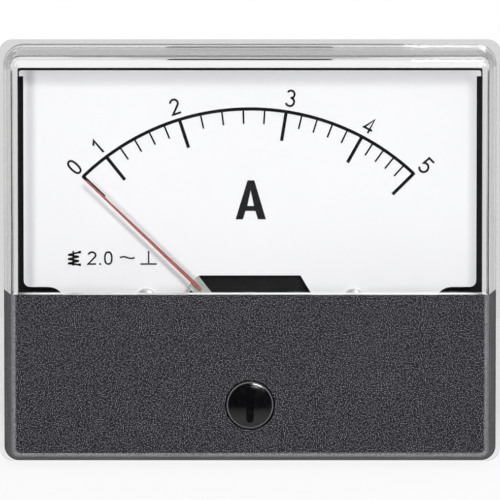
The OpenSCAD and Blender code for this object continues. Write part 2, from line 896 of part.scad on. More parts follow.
module scale_marks() {
    steps = len(long_marks_at) - 1;
    arc_end = function (a) atan2(reach_to_arc(a) * sin(a), reach_to_arc(a) * cos(a) + scale_drop);
    first = arc_end(zero_angle);
    last = arc_end(zero_angle + long_marks_at[steps]);
    color([0.08, 0.08, 0.09])
    on_pivot() {
        slab(dial_face_y - print_t, dial_face_y)
            polygon(concat(
                arc(0, -scale_drop, scale_r + arc_line / 2, 90 - first, 90 - last, 60),
                arc(0, -scale_drop, scale_r - arc_line / 2, 90 - last, 90 - first, 60)
            ));
        for (a = long_marks_at) mark(zero_angle + a, long_mark, long_line);
        for (i = [1 : steps - 1], j = [1 : 4])
            mark(zero_angle + long_marks_at[i] + (long_marks_at[i + 1] - long_marks_at[i]) * j / 5,
                short_mark, short_line);
    }
}

module dial_screws() {
    color([0.72, 0.72, 0.74])
    both_sides(dial_screw_x, dial_screw_z)
        pan_screw(small_head_r, small_head_h, small_screw_r, dial_face_y, dial_back_y + dial_screw_len);
}

// ---- frame, bobbin and coil ----

module movement_frame() {
    color([0.06, 0.06, 0.07])
    difference() {
        union() {
            rod(frame_r, frame_y, frame_back_y);
            on_pivot() {
                slab(chamber_front_y, frame_y + 0.1) difference() {
                    sector(chamber_in_r - chamber_wall, chamber_out_r + chamber_wall, chamber_end);
                    sector(chamber_in_r - chamber_wall - 1, chamber_out_r, chamber_half);
                }
                slab(chamber_sill_y, frame_y + 0.1)
                    sector(chamber_in_r - chamber_wall, chamber_in_r, chamber_end);
                on_lid_pegs() rod(lid_peg_r, chamber_front_y - chamber_lid_t - 0.2, chamber_front_y + 0.1);
            }
            both_sides(dial_screw_x, dial_screw_z) rod(dial_post_r, dial_back_y, frame_y + 0.1);
        }
        on_pivot() {
            rod(tube_r + turn_gap, frame_y - 0.5, frame_back_y + 1);
            both_sides(pillar_x, 0) rod(small_screw_r + seat_gap, frame_y - 1, frame_back_y + 1);
        }
        both_sides(dial_screw_x, dial_screw_z)
            rod(small_screw_r + seat_gap, dial_back_y - 1, dial_back_y + dial_screw_len + tip_room);
        on_posts() rod(frame_screw_r + 0.15, frame_y - 1, frame_back_y + 1);
        both_sides(post_at * 0.55, post_at * 0.62) rod(frame_hole_r, frame_y - 1, frame_back_y + 1);
    }
}

// Pegs in the chamber's end walls, which hold its cover
module on_lid_pegs() {
    for (side = [-1, 1])
        swing(side * (chamber_half + 2.7))
            at(0, (chamber_in_r + chamber_out_r) / 2) children();
}

module chamber_cover() {
    color([0.05, 0.05, 0.055])
    on_pivot() difference() {
        slab(chamber_front_y - chamber_lid_t, chamber_front_y)
            sector(chamber_in_r - chamber_wall - chamber_lid_lip, chamber_out_r + chamber_wall, chamber_end);
        on_lid_pegs() rod(lid_peg_r + turn_gap, chamber_front_y - 1, chamber_front_y + 1);
    }
}

module movement_screws() {
    color([0.66, 0.66, 0.68])
    on_posts() pan_screw(frame_head_r, frame_head_h, frame_screw_r, frame_y, frame_back_y + frame_screw_len);
}

module coil_bobbin() {
    color([0.25, 0.16, 0.1])
    on_pivot() difference() {
        union() {
            rod(tube_r, frame_y, bobbin_end_y);
            rod(bobbin_r, bobbin_y, coil_y);
            rod(bobbin_r, bobbin_end_y - flange_t, bobbin_end_y);
            both_sides(rear_post_x, 0) rod(rear_post_r, bobbin_end_y - 0.1, rear_bridge_y);
        }
        rod(bobbin_bore_r, frame_y - 1, bobbin_end_y + 1);
        both_sides(rear_post_x, 0) rod(small_screw_r + seat_gap, bobbin_end_y - 0.6, rear_bridge_y + 1);
        both_sides(pillar_x, 0) rod(small_screw_r + seat_gap, bobbin_y - 1, coil_y - 0.2);
    }
}

module field_coil() {
    color([0.72, 0.36, 0.16])
    on_pivot()
        turned(concat(
            [[tube_r + seat_gap, coil_y + seat_gap], [coil_r - coil_wire_r, coil_y + seat_gap]],
            [for (i = [0 : coil_turns - 1], j = [1 : 7])
                let (a = 180 * j / 8)
                [coil_r - coil_wire_r + coil_wire_r * sin(a),
                    coil_y + seat_gap + (coil_len - 2 * seat_gap) * (i + 0.5 - 0.5 * cos(a)) / coil_turns]],
            [
                [coil_r - coil_wire_r, coil_y + coil_len - seat_gap],
                [tube_r + seat_gap, coil_y + coil_len - seat_gap]
            ]
        ));
}

module coil_leads() {
    lug_x = terminal_dx / 2 - lug_reach * cos(lug_angle);
    lug_z = terminal_z + lug_reach * sin(lug_angle);
    start_r = coil_r + lead_r;
    start_x = start_r * sin(lead_angle);
    start_z = pivot_z + start_r * cos(lead_angle);
    color([0.72, 0.36, 0.16])
    for (side = [-1, 1]) {
        y = side < 0 ? coil_y + lead_r + 0.2 : coil_y + coil_len - lead_r - 0.2;
        wire([
            [side * start_x, y, start_z],
            [side * lug_x, y + 0.5, lug_z],
            [side * lug_x, floor_y - lug_t, lug_z]
        ], lead_r);
    }
}

module fixed_iron() {
    color([0.45, 0.46, 0.48])
    on_pivot() swing(zero_angle + 60)
        slab(coil_y + iron_margin, coil_y + coil_len - iron_margin)
            sector(bobbin_bore_r - iron_t - seat_gap, bobbin_bore_r - seat_gap, 55);
}

// ---- moving parts on the spindle ----

module moving_iron() {
    vane_r = bobbin_bore_r - iron_t - 0.6;
    color([0.5, 0.51, 0.53])
    on_pivot() swing(zero_angle + 35)
        slab(coil_y + iron_margin + 0.5, coil_y + coil_len - iron_margin - 0.5) difference() {
            union() {
                circle(r = hub_r);
                translate([-0.2, 0]) square([0.4, vane_r - 0.1]);
                sector(vane_r - 0.4, vane_r, 26, 12);
            }
            circle(r = spindle_r + seat_gap);
        }
}

module spindle() {
    color([0.75, 0.75, 0.77])
    on_pivot()
        turned([
            [0, spindle_front_y - pivot_len], [pivot_r, spindle_front_y - pivot_len],
            [pivot_r, spindle_front_y], [spindle_r, spindle_front_y],
            [spindle_r, spindle_back_y], [pivot_r, spindle_back_y],
            [pivot_r, spindle_back_y + pivot_len], [0, spindle_back_y + pivot_len]
        ]);
}

module spring_collet() {
    color([0.78, 0.62, 0.32])
    on_pivot() slab(collet_y, collet_y + collet_t) ring(collet_r, spindle_r + seat_gap);
}

module pointer_carrier() {
    waist = 0.75;
    half = carrier_end_w / 2;
    color([0.78, 0.8, 0.79])
    on_pointer() difference() {
        union() {
            rod(hub_r, carrier_y, carrier_y + hub_t);
            slab(carrier_y, carrier_y + carrier_t) {
                polygon([
                    [-waist, 0], [-waist, blade_from - 1], [-half * 0.72, blade_from - 0.4],
                    [-half, carrier_len], [half, carrier_len],
                    [half * 0.72, blade_from - 0.4], [waist, blade_from - 1], [waist, 0]
                ]);
                for (a = [90, 180, 270]) rotate(a) translate([-arm_w / 2, 0]) square([arm_w, arm_len]);
            }
        }
        rod(spindle_r + seat_gap, carrier_y - 1, carrier_y + hub_t + 1);
    }
}

module pointer() {
    color([0.86, 0.2, 0.17])
    on_pointer()
        slab(blade_y, carrier_y)
            polygon([
                [-blade_root_w * 0.3, blade_from], [blade_root_w * 0.3, blade_from],
                [blade_root_w / 2, blade_from + 0.8], [blade_tip_w / 2, pointer_len - 0.3],
                [0, pointer_len], [-blade_tip_w / 2, pointer_len - 0.3],
                [-blade_root_w / 2, blade_from + 0.8]
            ]);
}

module balance_weights() {
    color([0.7, 0.7, 0.68])
    on_pointer()
        for (a = [90, 180, 270])
            swing(a) translate([0, carrier_y + carrier_t / 2, weight_at - weight_len / 2])
                difference() {
                    cylinder(r = weight_r, h = weight_len);
                    translate([-arm_w / 2 - seat_gap, -carrier_t / 2 - seat_gap, -1])
                        cube([arm_w + 2 * seat_gap, carrier_t + 2 * seat_gap, weight_len + 2]);
                }
}

module damping_vane() {
    flag_in = chamber_in_r + vane_margin;
    flag_out = chamber_out_r - vane_margin;
    color([0.82, 0.83, 0.84])
    on_pointer() difference() {
        union() {
            rod(hub_r, vane_arm_y - 0.3, vane_arm_y + vane_arm_t + 0.3);
            translate([-vane_arm_w / 2, vane_arm_y, 0]) cube([vane_arm_w, vane_arm_t, flag_out]);
            translate([-vane_t / 2, chamber_front_y + vane_margin, flag_in])
                cube([vane_t, frame_y - chamber_front_y - 2 * vane_margin, flag_out - flag_in]);
        }
        rod(spindle_r + seat_gap, vane_arm_y - 1, vane_arm_y + 1);
    }
}

// ---- bridges and bearings ----

module bridge_bar(half_len) {
    translate([-half_len, -bridge_h / 2]) square([2 * half_len, bridge_h]);
    for (side = [-1, 1]) translate([side * half_len, 0]) circle(r = bridge_h / 2);
}

module on_stops() {
    for (side = [-1, 1]) swing(side * stop_angle) at(0, stop_at) children();
}

module front_bridge() {
    color([0.7, 0.71, 0.73])
    on_pivot() difference() {
        union() {
            slab(bridge_y, bridge_back_y) bridge_bar(pillar_x);
            on_stops() rod(1.1, bridge_y, bridge_back_y);
        }
        rod(jewel_screw_r + seat_gap, bridge_y - 1, bridge_back_y + 1);
        both_sides(pillar_x, 0) rod(small_screw_r + 0.1, bridge_y - 1, bridge_back_y + 1);
        on_stops() rod(stop_r + seat_gap, bridge_y - 1, bridge_back_y + 1);
    }
}

module pointer_stops() {
    color([0.75, 0.75, 0.77])
    on_pivot() on_stops() rod(stop_r, bridge_y, carrier_y + carrier_t + 0.3);
}

module bridge_pillars() {
    color([0.78, 0.62, 0.32])
    on_pivot() both_sides(pillar_x, 0) difference() {
        union() {
            rod(pillar_r, bridge_back_y, frame_y);
            rod(small_screw_r, frame_y - 0.1, coil_y - 0.3);
        }
        rod(small_screw_r + seat_gap, bridge_back_y - 1, bridge_back_y + bridge_screw_len + tip_room / 2);
    }
}

module bridge_screws() {
    color([0.66, 0.66, 0.68])
    on_pivot() both_sides(pillar_x, 0)
        pan_screw(small_head_r, small_head_h, small_screw_r, bridge_y, bridge_back_y + bridge_screw_len);
}

module front_jewel_screw() {
    color([0.78, 0.62, 0.32])
    on_pivot() jewel_screw(jewel_front_y, jewel_back_y, -1);
}

module rear_jewel_screw() {
    color([0.78, 0.62, 0.32])
    on_pivot() jewel_screw(rear_jewel_end_y, rear_jewel_y, 1);
}

module jewel_lock_nuts() {
    color([0.78, 0.62, 0.32])
    on_pivot() {
        hex_nut(lock_nut_af, jewel_screw_r, front_nut_y, front_nut_y + lock_nut_t);
        hex_nut(lock_nut_af, jewel_screw_r, rear_bridge_back_y, rear_bridge_back_y + lock_nut_t);
    }
}

module rear_bridge() {
    color([0.7, 0.71, 0.73])
    on_pivot() slab(rear_bridge_y, rear_bridge_back_y) difference() {
        bridge_bar(rear_post_x);
        circle(r = jewel_screw_r + seat_gap);
        for (side = [-1, 1]) translate([side * rear_post_x, 0]) circle(r = small_screw_r + 0.1);
    }
}

module rear_bridge_screws() {
    color([0.66, 0.66, 0.68])
    on_pivot() both_sides(rear_post_x, 0)
        translate([0, rear_bridge_back_y, 0]) rotate([0, 0, 180])
            pan_screw(small_head_r, small_head_h, small_screw_r, 0, rear_bridge_back_y - bobbin_end_y + 0.4);
}

// ---- zero setting ----

module zero_lever() {
    slot_half = eccentric_pin_r + fork_gap;
    color([0.8, 0.66, 0.36])
    on_pivot() {
        slab(lever_y, lever_y + lever_t) difference() {
            union() {
                circle(r = lever_eye_r);
                polygon([
                    [-lever_eye_r * 0.7, 0], [lever_eye_r * 0.7, 0],
                    [fork_w / 2, pin_reach], [fork_w / 2, fork_end],
                    [-fork_w / 2, fork_end], [-fork_w / 2, pin_reach]
                ]);
                translate([-0.8, 0]) square([1.6, stud_at + 0.6]);
            }
            circle(r = jewel_screw_r + turn_gap);
            translate([-slot_half, fork_end - 1])
                square([2 * slot_half, pin_reach + 1.2 - fork_end + 1]);
        }
        at(0, stud_at) rod(spring_stud_r, lever_y + lever_t / 2, collet_y + collet_t);
    }
}

module hairspring() {
    steps = 24;
    count = spring_turns * steps;
    first_r = spring_in_r + spring_t / 2;
    radius = function (i) first_r + (spring_out_r - first_r) * i / count;
    edge = function (i, out)
        let (a = 90 - 360 * (count - i) / steps, r = radius(i) + out * spring_t / 2)
        [r * cos(a), r * sin(a)];
    color([0.8, 0.55, 0.3])
    on_pivot() slab(collet_y + 0.05, collet_y + 0.05 + spring_w)
        polygon(concat(
            [for (i = [0 : count]) edge(i, 1)],
            [for (i = [count : -1 : 0]) edge(i, -1)]
        ));
}

clear_cover();
front_mask();
zero_adjuster();
adjuster_clip();
rear_housing();
mounting_studs();
dial_plate();
scale_marks();
dial_screws();
terminal_studs();
inner_nuts();
terminal_lugs();
clamp_nuts();
terminal_washers();
spring_washers();
terminal_nuts();
movement_frame();
chamber_cover();
movement_screws();
coil_bobbin();
field_coil();
coil_leads();
fixed_iron();
moving_iron();
spindle();
front_bridge();
bridge_pillars();
bridge_screws();
pointer_stops();
front_jewel_screw();
rear_jewel_screw();
jewel_lock_nuts();
rear_bridge();
rear_bridge_screws();
zero_lever();
hairspring();
spring_collet();
pointer_carrier();
pointer();
balance_weights();
damping_vane();
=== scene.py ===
import math

import bmesh
import bpy
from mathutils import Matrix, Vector


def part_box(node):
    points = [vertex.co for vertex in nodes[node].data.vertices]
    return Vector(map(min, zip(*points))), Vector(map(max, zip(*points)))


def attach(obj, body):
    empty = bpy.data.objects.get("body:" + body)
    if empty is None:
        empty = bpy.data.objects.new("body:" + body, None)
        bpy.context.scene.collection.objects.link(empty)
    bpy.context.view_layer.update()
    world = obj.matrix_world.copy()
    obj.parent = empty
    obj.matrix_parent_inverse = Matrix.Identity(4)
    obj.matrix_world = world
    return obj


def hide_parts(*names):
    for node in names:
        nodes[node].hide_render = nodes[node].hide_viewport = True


MM = 0.001
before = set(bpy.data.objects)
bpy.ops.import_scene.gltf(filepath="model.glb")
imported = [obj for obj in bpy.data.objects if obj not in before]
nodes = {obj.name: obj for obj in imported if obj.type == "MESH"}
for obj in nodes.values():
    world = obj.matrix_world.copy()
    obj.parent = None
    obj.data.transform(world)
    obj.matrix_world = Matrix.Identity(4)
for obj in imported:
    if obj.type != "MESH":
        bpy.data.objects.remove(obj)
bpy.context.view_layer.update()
scene = bpy.context.scene


# ---------------------------------------------------------------- camera

CAMERA_LENS = 334.0
CAMERA_SENSOR = 36.0
CAMERA_DISTANCE = 0.65
CAMERA_ELEVATION = math.radians(3.0)


def look_at(obj, target):
    obj.rotation_euler = (Vector(target) - obj.location).to_track_quat("-Z", "Y").to_euler()


def add_camera():
    data = bpy.data.cameras.new("camera")
    data.sensor_width = CAMERA_SENSOR
    data.lens = CAMERA_LENS
    data.clip_start = 0.01
    cam = bpy.data.objects.new("camera", data)
    scene.collection.objects.link(cam)
    cam.location = (0, -CAMERA_DISTANCE * math.cos(CAMERA_ELEVATION), CAMERA_DISTANCE * math.sin(CAMERA_ELEVATION))
    look_at(cam, (0, 0, 0))
    scene.camera = cam


# ---------------------------------------------------------------- node trees

class Nodes:
    """A short way to write a node tree. Values and sockets can stand for each other."""

    def __init__(self, tree):
        self.tree = tree

    def node(self, kind, inputs=None, **props):
        n = self.tree.nodes.new(kind)
        for key, value in props.items():
            setattr(n, key, value)
        for key, value in (inputs or {}).items():
            self.put(n.inputs[key], value)
        return n

    def put(self, socket, value):
        if isinstance(value, bpy.types.NodeSocket):
            self.tree.links.new(value, socket)
        else:
            socket.default_value = value

    def math(self, kind, a, b):
        return self.node("ShaderNodeMath", {0: a, 1: b}, operation=kind).outputs[0]

    def span(self, value, low, high, start=0.0, end=1.0, **props):
        """Maps start..end to low..high."""
        ranges = {"Value": value, "From Min": start, "From Max": end, "To Min": low, "To Max": high}
        return self.node("ShaderNodeMapRange", ranges, **props).outputs["Result"]

    def axes(self, kind):
        """The X, Y and Z of one kind of texture coordinates."""
        vector = self.node("ShaderNodeTexCoord").outputs[kind]
        return self.node("ShaderNodeSeparateXYZ", {"Vector": vector}).outputs

    def rays(self):
        return self.node("ShaderNodeLightPath").outputs

    def glow(self, kind, strength):
        """A white Emission or Background."""
        return self.node("ShaderNode" + kind, {"Color": (1, 1, 1, 1), "Strength": strength}).outputs[0]

    def switch(self, fac, low, high):
        """The shader low where fac is 0, and the shader high where it is 1."""
        return self.node("ShaderNodeMixShader", {"Fac": fac, 1: low, 2: high}).outputs[0]


class Shader(Nodes):
    """A new material, built round its Principled shader."""

    def __init__(self, name):
        self.mat = bpy.data.materials.new(name)
        self.mat.use_nodes = True
        super().__init__(self.mat.node_tree)
        self.out = next(n for n in self.tree.nodes if n.type == "OUTPUT_MATERIAL")
        self.main = next(n for n in self.tree.nodes if n.type == "BSDF_PRINCIPLED")

    def set(self, **values):
        """Sets inputs of the Principled shader, with _ for each space in a name."""
        for key, value in values.items():
            self.put(self.main.inputs[key.replace("_", " ")], value)

    def coords(self, scale=(1, 1, 1)):
        """Object coordinates in millimetres."""
        vector = self.node("ShaderNodeTexCoord").outputs["Object"]
        scale = [axis / MM for axis in scale]
        return self.node("ShaderNodeMapping", {"Vector": vector, "Scale": scale}).outputs["Vector"]

    def noise(self, scale, detail=3, rough=0.5, vector=None):
        inputs = {"Vector": vector or self.coords(), "Scale": scale, "Detail": detail, "Roughness": rough}
        return self.node("ShaderNodeTexNoise", inputs).outputs["Fac"]

    def ramp(self, fac, low, high, start=0.0, end=1.0):
        """A ramp between two colours."""
        r = self.node("ShaderNodeValToRGB", {"Fac": fac})
        for element, position, colour in zip(r.color_ramp.elements, (start, end), (low, high)):
            element.position = position
            element.color = (*colour, 1)
        return r.outputs["Color"]

    def blend(self, fac, low, high):
        """Mixes two colours. Mix has one set of sockets for each type, and 6 and 7 are its colours."""
        mix = self.node("ShaderNodeMix", data_type="RGBA")
        self.put(mix.inputs["Factor"], fac)
        for index, value in ((6, low), (7, high)):
            self.put(mix.inputs[index], value if isinstance(value, bpy.types.NodeSocket) else (*value, 1))
        return mix.outputs[2]

    def bump(self, height, distance):
        return self.node("ShaderNodeBump", {"Height": height, "Distance": distance * MM}).outputs["Normal"]

    def normal(self, axis):
        """One part of the surface's own direction."""
        return self.axes("Normal")[axis]

    def facing(self):
        """How squarely the surface faces the front or the back, from 0 to 1."""
        return self.math("ABSOLUTE", self.normal("Y"), 0.0)


# ---------------------------------------------------------------- materials

def clear_plastic():
    s = Shader("clear_plastic_moulded")
    haze = s.noise(0.35, 4, 0.6)
    facing = s.facing()
    square = s.math("MULTIPLY", facing, facing)
    slant = s.math("MULTIPLY", square, s.math("SUBTRACT", 1.0, square))
    # the flat faces are polished, the chamfers and rounded edges less so
    polish = s.span(haze, 0.0, 0.03, 0.3, 0.8)
    dulled = s.span(slant, 0.0, 0.3, 0.1, 0.22)
    s.set(Base_Color=s.ramp(haze, (0.985, 0.99, 0.99), (1, 1, 1)), Roughness=s.math("MAXIMUM", polish, dulled),
          Transmission_Weight=1.0, IOR=1.58)
    # light reaches what lies behind the flat faces, while the rounded edges and the top bend most of it away
    rays = s.rays()
    through = s.math("MAXIMUM", rays["Is Shadow Ray"], rays["Is Diffuse Ray"])
    layer = s.node("ShaderNodeLayerWeight", {"Blend": 0.5}).outputs["Facing"]
    upper = s.math("MULTIPLY", s.math("MULTIPLY", s.normal("Z"), s.normal("Z")), layer)
    lost = s.math("MAXIMUM", s.span(slant, 0.0, 1.0, 0.01, 0.07), s.span(upper, 0.0, 0.2, 0.3, 0.5))
    clear = s.node("ShaderNodeBsdfTransparent", {"Color": s.ramp(lost, (1, 1, 1), (0, 0, 0))})
    s.put(s.out.inputs["Surface"], s.switch(through, s.main.outputs[0], clear.outputs[0]))
    return s.mat


def brown_phenolic():
    s = Shader("bobbin_phenolic")
    fine = s.noise(4.0, 2, 0.6)
    broad = s.noise(0.15, 2, 0.5)
    s.set(Base_Color=s.ramp(fine, (0.06, 0.03, 0.018), (0.1, 0.055, 0.032), 0.3, 0.75),
          Roughness=s.span(broad, 0.34, 0.44, 0.3, 0.7),
          Normal=s.bump(fine, 0.008))
    return s.mat


def housing_plastic():
    """Black plastic, painted darker in front of the panel, where it shows through the window."""
    s = Shader("housing_satin_grain")
    fine = s.noise(5.0, 2, 0.6)
    behind_panel = s.span(s.axes("Object")["Y"], 0.0, 1.0, -0.5 * MM, 0.5 * MM)
    # painted light and shade: one plastic in two tones, a darker copy in front of the panel as painted shade and a
    # lighter copy behind it
    s.set(Base_Color=s.blend(behind_panel,
                             s.ramp(fine, (0.003, 0.003, 0.0035), (0.006, 0.006, 0.007), 0.3, 0.75),
                             s.ramp(fine, (0.013, 0.013, 0.014), (0.022, 0.022, 0.024), 0.3, 0.75)),
          Roughness=s.span(s.noise(0.15, 2, 0.5), 0.5, 0.6, 0.3, 0.7),
          Specular_IOR_Level=0.12,
          Normal=s.bump(fine, 0.012))
    return s.mat


def mask_plastic():
    """Dark plastic with a metallic sparkle, with a painted highlight along its rounded edges."""
    s = Shader("mask_sparkle_grain")
    fine = s.noise(8.0, 1, 0.6)
    sparkle = s.span(s.noise(7.5, 0, 0.5), 0.0, 1.0, 0.55, 0.72)
    dark = s.ramp(fine, (0.0, 0.0, 0.001), (0.018, 0.017, 0.025), 0.43, 0.58)
    facing = s.facing()
    # painted highlight: the rounded edges are made paler where the side lights would catch them; edges facing down
    # are paler still, as a painted reflection of the floor
    rounded = s.math("MULTIPLY", s.span(facing, 0.0, 1.0, 0.12, 0.35), s.span(facing, 1.0, 0.0, 0.95, 0.995))
    painted_edge_highlight = s.math("MULTIPLY", rounded, s.span(s.noise(5.0, 2, 0.6), 0.25, 0.75, 0.3, 0.7))
    down = s.span(s.normal("Z"), 1.0, 0.0, -0.6, -0.1)
    painted_highlight_colour = s.blend(down, (0.38, 0.37, 0.39), (0.6, 0.59, 0.61))
    s.set(Base_Color=s.blend(painted_edge_highlight, s.blend(sparkle, dark, (0.24, 0.233, 0.26)), painted_highlight_colour),
          Roughness=s.span(s.noise(0.15, 2, 0.5), 0.6, 0.7, 0.3, 0.7),
          Specular_IOR_Level=0.2,
          Normal=s.bump(fine, 0.015))
    return s.mat


def gloss_black():
    """Polished black, with a painted highlight round the rim of the dome."""
    s = Shader("gloss_black_knob")
    wear = s.noise(1.2, 4, 0.6)
    facing = s.facing()
    # painted highlight: a paler grey ring where the rounded rim would mirror the lights
    painted_rim_highlight = s.math("MULTIPLY", s.span(facing, 0.0, 1.0, 0.3, 0.6), s.span(facing, 1.0, 0.0, 0.8, 0.95))
    black = s.ramp(wear, (0.002, 0.002, 0.0025), (0.005, 0.005, 0.006), 0.3, 0.8)
    s.set(Base_Color=s.blend(painted_rim_highlight, black, (0.16, 0.16, 0.165)),
          Roughness=s.span(wear, 0.06, 0.16, 0.35, 0.75),
          Normal=s.bump(s.noise(0.8, 2), 0.004))
    return s.mat


def white_dial():
    s = Shader("dial_enamel")
    fine = s.noise(6, 2)
    broad = s.noise(0.05, 2)
    s.set(Base_Color=s.ramp(broad, (0.905, 0.905, 0.925), (0.92, 0.92, 0.94), 0.3, 0.7),
          Roughness=s.span(fine, 0.55, 0.65, 0.3, 0.7),
          Specular_IOR_Level=0.12,
          Normal=s.bump(fine, 0.003))
    return s.mat


def ink(name, dark, light):
    s = Shader(name)
    mottle = s.noise(5, 3, 0.6)
    s.set(Base_Color=s.ramp(mottle, dark, light, 0.3, 0.7),
          Roughness=s.span(mottle, 0.6, 0.75, 0.3, 0.7),
          Specular_IOR_Level=0.12,
          Normal=s.bump(mottle, 0.002))
    return s.mat


def red_lacquer():
    s = Shader("pointer_lacquer")
    mottle = s.noise(3, 3, 0.6)
    s.set(Base_Color=s.ramp(mottle, (0.28, 0.075, 0.068), (0.36, 0.1, 0.09), 0.3, 0.7),
          Roughness=s.span(mottle, 0.35, 0.5, 0.3, 0.7),
          Normal=s.bump(mottle, 0.004))
    return s.mat


def metal(name, dark, light, rough, grain=2.5, stretch=(1, 1, 1)):
    s = Shader(name)
    lines = s.noise(grain, 3, 0.6, s.coords(stretch))
    stain = s.noise(0.4, 3, 0.55)
    s.set(Base_Color=s.ramp(stain, dark, light, 0.25, 0.75),
          Metallic=1.0,
          Roughness=s.span(lines, rough - 0.07, rough + 0.1, 0.25, 0.75),
          Normal=s.bump(lines, 0.003))
    return s.mat


def enamelled_wire():
    s = Shader("enamelled_copper_wire")
    stain = s.noise(0.8, 3, 0.6)
    s.set(Base_Color=s.ramp(stain, (0.42, 0.13, 0.045), (0.62, 0.24, 0.1), 0.25, 0.75),
          Metallic=0.85,
          Roughness=s.span(stain, 0.25, 0.38, 0.3, 0.7),
          Coat_Weight=0.6, Coat_Roughness=0.12,
          Normal=s.bump(s.noise(4, 2), 0.004))
    return s.mat


def add_materials():
    """Gives each CAD node its look, and returns the looks by the names of the CAD materials."""
    looks = {
        "clear_plastic": clear_plastic(),
        "mask_black": mask_plastic(),
        "adjuster_black": gloss_black(),
        "housing_black": housing_plastic(),
        "dial_white": white_dial(),
        "print_black": ink("print_ink", (0.006, 0.006, 0.007), (0.014, 0.014, 0.016)),
        "pointer_red": red_lacquer(),
        "light_alloy": metal("light_alloy_sheet", (0.3, 0.32, 0.29), (0.4, 0.42, 0.38), 0.36, 3, (1, 1, 0.2)),
        "plated_steel": metal("plated_steel_bright", (0.5, 0.5, 0.5), (0.64, 0.64, 0.63), 0.28),
        "soft_iron": metal("soft_iron_annealed", (0.24, 0.245, 0.26), (0.34, 0.34, 0.35), 0.45),
        "brass": metal("brass_turned", (0.6, 0.42, 0.16), (0.74, 0.54, 0.25), 0.27),
        "copper_wire": enamelled_wire(),
        "spring_bronze": metal("spring_bronze_strip", (0.56, 0.3, 0.12), (0.7, 0.42, 0.2), 0.3),
        "bobbin_brown": brown_phenolic(),
    }
    own = {
        "scale_marks": ink("scale_ink", (0.0015, 0.0015, 0.002), (0.004, 0.004, 0.005)),
        "adjuster_clip": metal("blackened_bronze", (0.03, 0.024, 0.018), (0.05, 0.04, 0.03), 0.5),
    }
    for name, obj in nodes.items():
        slots = obj.data.materials
        slots[0] = own.get(name) or looks[slots[0].name]
    return looks


# ---------------------------------------------------------------- meshes

def new_object(name, bm):
    """Puts the edited mesh into the scene as an object and frees it."""
    mesh = bpy.data.meshes.new(name)
    bm.to_mesh(mesh)
    bm.free()
    obj = bpy.data.objects.new(name, mesh)
    scene.collection.objects.link(obj)
    return obj


def loft(bm, rings):
    """Skins a row of closed rings, given as points in millimetres, and caps both ends."""
    rings = [[bm.verts.new([axis * MM for axis in point]) for point in ring] for ring in rings]
    for one, other in zip(rings, rings[1:]):
        for i in range(len(one)):
            j = (i + 1) % len(one)
            bm.faces.new((one[i], one[j], other[j], other[i]))
    bm.faces.new(rings[0])
    bm.faces.new(rings[-1])


# ---------------------------------------------------------------- printed figures and signs

PRINT_THICKNESS = 0.06 * MM
FIGURE_LINE = 0.3
SIGN_LINE = 0.25
SIGN_FOOT = -1.74
MITRE_LIMIT = 0.35  # a sharper corner than this cosine gives isn't drawn out further
DIAL_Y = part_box("dial_plate")[0].y


def arc(cx, cz, rx, rz, start, end, n):
    """Points along an ellipse, angles in degrees anticlockwise from +X."""
    angles = [math.radians(start + (end - start) * i / n) for i in range(n + 1)]
    return [(cx + rx * math.cos(a), cz + rz * math.sin(a)) for a in angles]


def zero_ring(h, n=32):
    """A ring a little squarer than an ellipse."""
    ring = []
    for i in range(n):
        c, d = math.cos(2 * math.pi * i / n), math.sin(2 * math.pi * i / n)
        ring.append((math.copysign(abs(c) ** 0.8, c) * 0.26 * h, h / 2 + math.copysign(abs(d) ** 0.85, d) * h / 2))
    return ring


def figure_points(mark, h):
    """Centre line of a figure of height h, drawn round x = 0 with its foot at z = 0."""
    r = 0.27 * h
    return {
        "0": zero_ring(h),
        "1": [(-0.16 * h, 0.76 * h), (0.08 * h, h), (0.08 * h, 0)],
        "2": arc(0, h - r, r, r, 168, -32, 16) + [(-0.29 * h, 0), (0.3 * h, 0)],
        "3": arc(0, h - 0.24 * h, 0.235 * h, 0.24 * h, 155, -78, 14) + arc(0, r, r, r, 84, -158, 16),
        "4": [(0.1 * h, 0), (0.1 * h, h), (-0.3 * h, r), (0.3 * h, r)],
        "5": ([(0.26 * h, h), (-0.19 * h, h), (-0.23 * h, 0.53 * h)]
              + arc(-0.01 * h, 0.31 * h, 0.29 * h, 0.31 * h, 125, -150, 16)),
    }[mark]


def ribbon(bm, pts, width, place, closed=False):
    """A flat printed line of that width, PRINT_THICKNESS thick, with mitred corners."""
    n = len(pts)
    left, right = [], []
    for i, p in enumerate(pts):
        p = Vector(p)
        before = Vector(pts[(i - 1) % n]) if closed or i > 0 else None
        after = Vector(pts[(i + 1) % n]) if closed or i < n - 1 else None
        d0 = (p - before).normalized() if before is not None else (after - p).normalized()
        d1 = (after - p).normalized() if after is not None else d0
        n0, n1 = Vector((-d0.y, d0.x)), Vector((-d1.y, d1.x))
        m = n0 + n1
        m = m / max(m.dot(n0), MITRE_LIMIT) if m.length > 1e-9 else n0
        left.append(p + m * width / 2)
        right.append(p - m * width / 2)
    rows = []
    for side in (left, right):
        for y in (-PRINT_THICKNESS, 0.0):
            rows.append([bm.verts.new(place(q.x, q.y, y)) for q in side])
    lf, lb, rf, rb = rows
    for i in range(n if closed else n - 1):
        j = (i + 1) % n
        bm.faces.new((lf[i], lf[j], rf[j], rf[i]))
        bm.faces.new((lf[i], lb[i], lb[j], lf[j]))
        bm.faces.new((rf[i], rf[j], rb[j], rb[i]))
        bm.faces.new((lb[i], rb[i], rb[j], lb[j]))
    if not closed:
        bm.faces.new((lf[0], rf[0], rb[0], lb[0]))
        bm.faces.new((lf[-1], lb[-1], rb[-1], rf[-1]))


